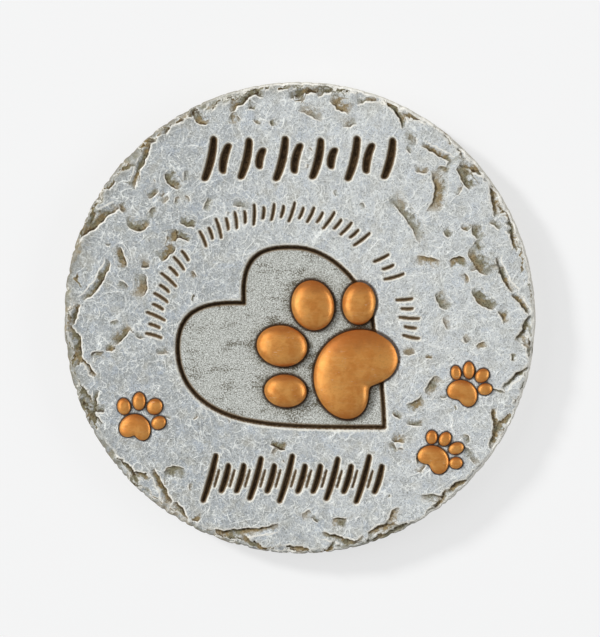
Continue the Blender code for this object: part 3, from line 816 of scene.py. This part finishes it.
class Wire:
    """A socket of a finish. Arithmetic on wires adds Math nodes."""

    __add__, __radd__ = math_method("ADD"), math_method("ADD", True)
    __sub__, __rsub__ = math_method("SUBTRACT"), math_method("SUBTRACT", True)
    __mul__, __rmul__ = math_method("MULTIPLY"), math_method("MULTIPLY", True)
    __pow__ = math_method("POWER")
    __abs__ = math_method("ABSOLUTE")
    most, least = math_method("MAXIMUM"), math_method("MINIMUM")

    def __init__(self, finish, socket):
        self.finish = finish
        self.socket = socket

    def between(self, first, last):
        """0 up to first and 1 from last, with a smooth curve between."""
        settings = {"interpolation_type": "SMOOTHSTEP"}
        return self.finish.node("ShaderNodeMapRange", settings, {0: self, 1: first, 2: last, 3: 0.0, 4: 1.0})


class Finish:
    """A material in the making: a node tree, and one method that adds any node to it."""

    def __init__(self, name):
        self.material = bpy.data.materials.new(name)
        self.material.use_nodes = True
        self.tree = self.material.node_tree
        self.shader = self.tree.nodes["Principled BSDF"]
        self.place = self.node("ShaderNodeTexCoord", output="Object")
        self.colour = None

    def node(self, kind, settings=None, inputs=None, output=0):
        """Adds a node, sets its settings, then its sockets' values or links, and gives one of its outputs."""
        made = self.tree.nodes.new(kind)
        for name, value in (settings or {}).items():
            setattr(made, name, value)
        for key, value in (inputs or {}).items():
            self.feed(made.inputs[key], value)
        return Wire(self, made.outputs[output])

    def feed(self, socket, value):
        """Links a wire to a socket, or sets the socket's own value."""
        if isinstance(value, Wire):
            self.tree.links.new(value.socket, socket)
        else:
            socket.default_value = value

    def set(self, name, value):
        """Feeds an input of the shader."""
        self.feed(self.shader.inputs[name], value)

    def mask(self, name):
        """An attribute of the mesh."""
        return self.node("ShaderNodeAttribute", {"attribute_name": name}, output="Fac")

    def drawn_out(self, stretch, turn):
        """The place with one direction squeezed, so that noise on it comes out in streaks along turn degrees."""
        values = {"Vector": self.place, "Rotation": (0, 0, math.radians(-turn)), "Scale": (1 / stretch, 1, 1)}
        return self.node("ShaderNodeMapping", {}, values)

    def noise(self, size, detail=3.0, roughness=0.5, warp=0.0, place=None):
        """Noise from 0 to 1 with lumps as wide as size in millimetres."""
        values = {"Vector": place or self.place, "Scale": 1 / (size * MM), "Detail": detail}
        values.update({"Roughness": roughness, "Distortion": warp})
        return self.node("ShaderNodeTexNoise", {}, values, "Fac")

    def blend(self, factor, first, second):
        """A colour between two colours."""
        return self.node("ShaderNodeMix", {"data_type": "RGBA"}, {0: factor, 6: first, 7: second}, 2)

    def coat(self, amount, colour):
        """Lays a colour over the paint that is there, where amount is above 0."""
        self.colour = self.blend(amount, self.colour, colour)

    def bump(self, height, depth, under=None):
        """A normal from a height from 0 to 1 that stands for depth in millimetres."""
        values = {"Height": height, "Distance": depth * MM, "Strength": 1.0}
        if under:
            values["Normal"] = under
        return self.node("ShaderNodeBump", {}, values, "Normal")


def paint(red, green, blue):
    """A colour as the eye reads it, 0 to 255, turned into the linear values that a shader takes."""
    return (*((value / 255) ** 2.2 for value in (red, green, blue)), 1.0)


# %% [markdown]
# The stone's paint in the order it was put on: blue-grey over everything, mottled in warmer and bluer patches, with
# painted shade on the left and on the rim strip that faces the main light, and painted light on the upper right;
# a thin olive stain on the broken places and in the hollows; a near-black brown wash in the strokes, the heart's
# groove and round the pads; and last a dry brush of cream over the ridges and the edges. The heart's floor is sandy,
# with dark specks that crowd round the pads.

# %% The stone's paint
def stone_finish():
    """The stone's material, coat by coat."""
    made = Finish("painted_stone")
    in_heart = made.mask("in_heart")
    past_pad = made.mask("past_pad")
    lumps = made.mask("lumps")
    stain = made.mask("stain")
    pale = made.mask("edge_pale")
    hollow = made.mask("hollow")

    mottle = made.noise(6, 4.0, 0.6)
    grain = made.noise(1.3, 3.0, 0.65)
    fine = made.noise(0.6, 2.0, 0.6)
    net = abs(made.noise(2.6, 1.5, 0.5, 1.2) - 0.5)
    web = abs(made.noise(1.5, 1.0, 0.5, 0.8) - 0.5)
    heart = in_heart.between(-0.6, 0.4)
    bare = 1 - heart
    ridge = (1 - abs(made.mask("wide_crease")).between(0.01, 0.07)) * made.mask("wide_power")
    rib = (1 - abs(made.mask("fine_crease")).between(0.01, 0.10)) * made.mask("fine_power")
    seam = (1 - abs(made.mask("plate")).between(0.01, 0.035)) * made.mask("plate_power")
    thread = (1 - net.between(0.0, 0.04)) * mottle.between(0.35, 0.6)
    blot = made.noise(3.2, 4.0, 0.7)
    hair = (1 - web.between(0.0, 0.055)) * blot.between(0.35, 0.6)

    patch = made.noise(9, 3.0, 0.6)
    sunny = made.mask("sunny")
    glaring = made.mask("glaring")
    made.colour = made.blend(mottle.between(0.3, 0.7), paint(180, 184, 187), paint(202, 206, 207))
    made.coat(lumps.between(0.1, -0.8) * 0.55, paint(158, 158, 151))
    # Painted shade on the left side.
    made.coat(made.mask("shady") * 0.5, paint(136, 142, 146))
    made.coat(patch.between(0.5, 0.66) * 0.35, paint(184, 178, 160))
    made.coat(made.noise(8, 3.0, 0.6, 0.3).between(0.5, 0.66) * 0.35, paint(172, 184, 200))
    # Painted light on the upper right.
    made.coat(sunny * 0.22, paint(218, 221, 220))
    # Painted shade on the rim strip that faces the main light; the cream coats below are also kept thinner there.
    made.coat(glaring * 0.5, paint(122, 118, 104))
    made.coat(fine.between(0.5, 0.25) * 0.95, paint(112, 111, 104))
    made.coat(grain.between(0.46, 0.3) * 0.48, paint(130, 129, 120))
    made.coat(fine.between(0.54, 0.76) * (0.65 - glaring * 0.5), paint(230, 233, 232))
    frost = (seam * blot.between(0.4, 0.6) * 0.6 + ridge * 0.85 + rib * 0.7 + thread * 0.75 + hair * 0.8).least(1.0)
    made.coat(frost * (0.5 + grain) * (1 - glaring * 0.5), paint(240, 242, 238))
    side = made.mask("side")
    # The wall: painted shade, dark brown-grey, on the left, and painted light, pale cream, on the upper right. The
    # underside is bare cement.
    wall_paint_and_light = made.blend(sunny, paint(112, 106, 92), paint(226, 221, 208))
    cement = made.blend(mottle.between(0.3, 0.7), paint(146, 144, 136), paint(172, 169, 160))
    wall_paint_and_light = made.blend(made.mask("under"), wall_paint_and_light, cement)
    made.coat(side * 0.85, wall_paint_and_light)

    speck = made.noise(0.5, 2.0, 0.7)
    sand = made.blend(speck.between(0.34, 0.66), paint(140, 141, 134), paint(226, 228, 223))
    by_paw = (1 - past_pad.between(-1.0, 8.5)) ** 1.5
    sand = made.blend(by_paw * blot * 0.7, sand, paint(118, 113, 92))
    made.coat(heart, sand)
    smudge = made.noise(8, 4.0, 0.7, 0.0, made.drawn_out(2.2, 0)).between(0.48, 0.66)
    crumb = made.noise(0.8, 2.5, 0.65)
    crowd = 0.5 + by_paw * 0.45 + smudge * 0.7
    specks = (crumb + crowd * 0.16).between(0.63, 0.70) * heart
    made.coat((specks * (0.45 + crowd * 0.32)).least(0.9), paint(86, 80, 64))

    olive = made.blend(patch.between(0.44, 0.6), paint(124, 118, 92), paint(142, 122, 84))
    tar = paint(66, 54, 40)
    made.coat((stain * blot.between(0.3, 0.62)).least(0.9) * (1 - side * 0.5), olive)
    deep = (hollow * (0.4 + grain * 1.2)).least(1.0)
    # The wash in the hollows is thinner on the upper right, as painted light.
    made.coat(deep * (0.5 - sunny * 0.2) * bare, paint(118, 104, 80))
    # The dry brush is kept off the wall away from the upper right, where the wall is in painted shade.
    outer = side * (1 - sunny)
    made.coat(pale * 0.8 * (1 - outer) * (1 - glaring * 0.7), paint(232, 229, 219))
    past_cliff = made.mask("past_cliff")
    share = made.mask("floor_share")
    power = made.mask("cliff_power")
    floor = past_cliff.between(-0.1, 0.25) * (1 - (share + (blot - 0.5) * 2.4).between(0.25, 1.05)) * power
    made.coat((floor * 1.3).least(0.92), olive)
    crumbs = (fine * 0.5 + grain * 0.5).between(0.5, 0.42) * floor
    made.coat(crumbs * 0.65, tar)
    cleft = past_cliff.between(0.0, 0.2) * (1 - (past_cliff + (grain - 0.5) * 1.6).between(0.5, 1.3)) * power
    # The clefts' wash is painted darker away from the upper right, as painted shade.
    made.coat((cleft * blot.between(0.36, 0.58) * (1.35 - sunny * 0.35)).least(0.95), tar)
    near_lip = 1 - abs(past_cliff + 0.3).between(0.1, 0.42)
    far_lip = 1 - abs(share - 1.1).between(0.04, 0.16)
    rim_lip = near_lip.most(far_lip * 0.75) * (power * 2.0).least(1.0) * (0.8 + grain) * (1 - glaring * 0.5)
    made.coat(rim_lip.least(0.95), paint(236, 233, 224))

    # A cream line along the face's edge on the upper right: dry brush and painted highlight.
    brink = side.between(0.05, 0.35) * (1 - side.between(0.5, 0.95))
    made.coat(brink * (sunny * 1.4).least(1.0) * (0.5 + grain * 0.6), paint(244, 241, 233))
    wobble = (grain - 0.5) * 0.9
    past_stroke = made.mask("past_stroke") + wobble
    in_heart = in_heart + wobble
    lip = (1 - abs(past_stroke - 0.45).between(0.1, 0.5)).most(1 - abs(in_heart + 2.15).between(0.15, 0.6))
    made.coat((lip * (grain * 1.7 - 0.3)).between(0.0, 1.0), paint(230, 227, 215))
    groove_flank = in_heart.between(-1.8, -1.2) * (1 - in_heart.between(0.7, 1.9))
    groove_bottom = in_heart.between(-1.3, -0.6) * (1 - in_heart.between(0.3, 1.0))
    flank = (1 - past_stroke.between(-0.45, 0.2)).most(groove_flank)
    bottom = (1 - past_stroke.between(-1.3, -0.4)).most(groove_bottom)
    foot = 1 - (past_pad + grain * 1.6).between(1.3, 2.5)
    made.coat(flank * (0.75 + grain * 0.4).least(1.0), paint(116, 96, 70))
    made.coat(bottom * (0.65 + grain * 0.6).least(1.0), paint(47, 35, 23))
    bed = (1 - past_stroke.between(-2.1, -1.3)) * blot.between(0.42, 0.62)
    made.coat(bed * 0.55, paint(104, 82, 58))
    made.coat(foot * 0.9, paint(62, 44, 28))

    made.set("Base Color", made.colour)
    made.set("Roughness", 0.8 + grain * 0.15)
    made.set("Specular IOR Level", 0.12)
    crust = seam * 0.4 + ridge * 0.4 + rib * 0.35 + thread * 0.3 + hair * 0.25
    crust = crust * bare * past_stroke.between(-0.2, 0.5)
    rough = made.bump(crust, 0.25)
    made.set("Normal", made.bump(grain * 0.4 + fine * 0.6, 0.5, rough))
    return made.material


# %% [markdown]
# Copper paint is metal flake in a clear binder: metallic in colour, but rougher than metal. It is brushed on in
# streaks, with painted shade that makes each pad darker and redder towards its upper edge, a dark line where the wash
# has crept up the pad's foot and a few pale scuffs on top.

# %% The copper paint
def copper_finish():
    """The pads' material, coat by coat."""
    made = Finish("copper_paint")
    edge = made.mask("edge")
    cloud = made.noise(6, 3.0, 0.6, 0.5)
    brushed = made.noise(1.5, 3.0, 0.6, 0.3, made.drawn_out(5.0, 60))
    flake = made.noise(0.4, 2.0, 0.6)
    made.colour = made.blend(cloud.between(0.3, 0.7), paint(232, 148, 72), paint(252, 178, 96))
    made.coat(brushed.between(0.5, 0.72) * 0.4, paint(252, 190, 114))
    streak = made.noise(0.9, 3.0, 0.7, 0.0, made.drawn_out(1.8, 60))
    made.coat(streak.between(0.5, 0.34) * 0.22, paint(196, 116, 54))
    scratch = made.noise(0.8, 3.0, 0.6, 0.4, made.drawn_out(4.0, 20)).between(0.6, 0.72)
    scuffs = scratch * made.noise(9, 2.0, 0.5).between(0.5, 0.62) * (1 - edge.between(0.85, 0.95))
    made.coat(scuffs * 0.7, paint(255, 226, 186))
    # Painted shade: each pad is darker and redder towards its upper edge, and a little towards its lower edge.
    upper = made.mask("upper")
    shade = (upper + (cloud - 0.5) * 0.8).between(0.35, 0.85).most(upper.between(-0.7, -1.0) * 0.6)
    made.coat(shade * 0.65, paint(178, 90, 38))
    made.coat(edge.between(0.968, 0.994), paint(76, 45, 24))
    made.set("Base Color", made.colour)
    made.set("Metallic", 0.7)
    made.set("Roughness", 0.31 + flake * 0.1 + edge.between(0.96, 1.0) * 0.4 + scuffs * 0.25)
    made.set("Normal", made.bump(flake * 0.5 + brushed * 0.5, 0.05))
    return made.material


stone.data.materials.append(stone_finish())
pads.data.materials.append(copper_finish())
for piece in (stone, pads):
    print(f"{piece.name}: {len(piece.data.materials[0].node_tree.nodes)} nodes in its paint")

# %% [markdown]
# Both pieces ride on the stone's only body, and both stand for the one solid, because the pads are cast with it.

# %% Hand the pieces over
for piece, slot in ((stone, "painted_stone"), (pads, "copper_paint")):
    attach(piece, "root")
    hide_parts("stepping_stone")

# %% [markdown]
# The studio is a pale table under soft light. The main light comes from the upper left and is broad, so the shadow
# to the lower right is soft. A large soft box high on the left and a lower one on the right give the pads their
# bright flanks. The table glows a little, so that it stays as pale as paper without a light that would burn out the
# stone.

# %% The table and the lights
TABLE_SIZE = 6.0
TABLE_GREY = 0.27
TABLE_GLOW = 0.635
SKY = (0.95, 0.98, 1.0, 1.0)
SKY_STRENGTH = 0.30
bpy.ops.mesh.primitive_plane_add(size=TABLE_SIZE, location=(0, 0, 0))
table = bpy.context.object
table.name = "table"
table_paper = Finish("pale_table")
table_paper.set("Base Color", (TABLE_GREY, TABLE_GREY, TABLE_GREY, 1.0))
table_paper.set("Emission Color", (1.0, 1.0, 1.0, 1.0))
table_paper.set("Emission Strength", TABLE_GLOW)
table_paper.set("Roughness", 0.9)
table_paper.set("Specular IOR Level", 0.1)
table.data.materials.append(table_paper.material)

world = bpy.data.worlds.new("studio")
bpy.context.scene.world = world
world.use_nodes = True
sky = world.node_tree.nodes["Background"]
sky.inputs["Color"].default_value = SKY
sky.inputs["Strength"].default_value = SKY_STRENGTH


def toward(azimuth, elevation, distance):
    """A point at an azimuth and an elevation in degrees and a distance in metres from the origin."""
    a, e = math.radians(azimuth), math.radians(elevation)
    return distance * math.cos(e) * math.cos(a), distance * math.cos(e) * math.sin(a), distance * math.sin(e)


def lamp(name, kind, azimuth, elevation, distance, **settings):
    """A light of a kind, with its settings. Its -Z axis points at the origin."""
    light = bpy.data.lights.new(name, kind)
    for setting, value in settings.items():
        setattr(light, setting, value)
    made = bpy.data.objects.new(name, light)
    made.location = toward(azimuth, elevation, distance)
    made.rotation_euler = made.location.to_track_quat("Z", "Y").to_euler()
    bpy.context.scene.collection.objects.link(made)
    return made


BOX = {"shape": "RECTANGLE", "size": 1.5}
key = lamp("key", "SUN", KEY_BEARING, 27, 2.0, energy=3.0, angle=math.radians(9))
key.visible_glossy = False
left_box = lamp("left_box", "AREA", 168, 48, 1.6, energy=7.2, size_y=0.95, **BOX)
right_box = lamp("right_box", "AREA", 5, 30, 1.6, energy=6.5, size_y=0.6, **BOX)
print(f"lights: {key.name}, {left_box.name}, {right_box.name}")

# %% [markdown]
# The camera looks almost straight down: it leans a few degrees towards the upper right, which shows a thin strip of
# the wall there. A long lens keeps the circle round. The picture is taller than wide, so the lens is worked out from
# the height of the view.

# %% The camera
SENSOR = 36.0
VIEW_HEIGHT = 342.5
DISTANCE = 1200.0
TILT = 4.2
TILT_TOWARDS = 45
AIM = (0.6, 0.0, 8.0)
camera = bpy.data.cameras.new("camera")
camera.sensor_width = SENSOR
camera.lens = SENSOR * DISTANCE / VIEW_HEIGHT
camera.clip_end = 20
camera_object = bpy.data.objects.new("camera", camera)
offset = toward(TILT_TOWARDS, 90 - TILT, DISTANCE * MM)
camera_object.location = tuple(AIM[i] * MM + offset[i] for i in range(3))
bpy.context.scene.collection.objects.link(camera_object)
backward = (camera_object.location - Vector(AIM) * MM).normalized()
right = Vector((0, 1, 0)).cross(backward).normalized()
up = backward.cross(right)
camera_object.rotation_euler = Matrix((right, up, backward)).transposed().to_euler()
bpy.context.scene.camera = camera_object
bpy.context.scene.view_settings.view_transform = "Standard"
print(f"camera: {DISTANCE:.0f} mm away, with a lens of {camera.lens:.0f} mm")
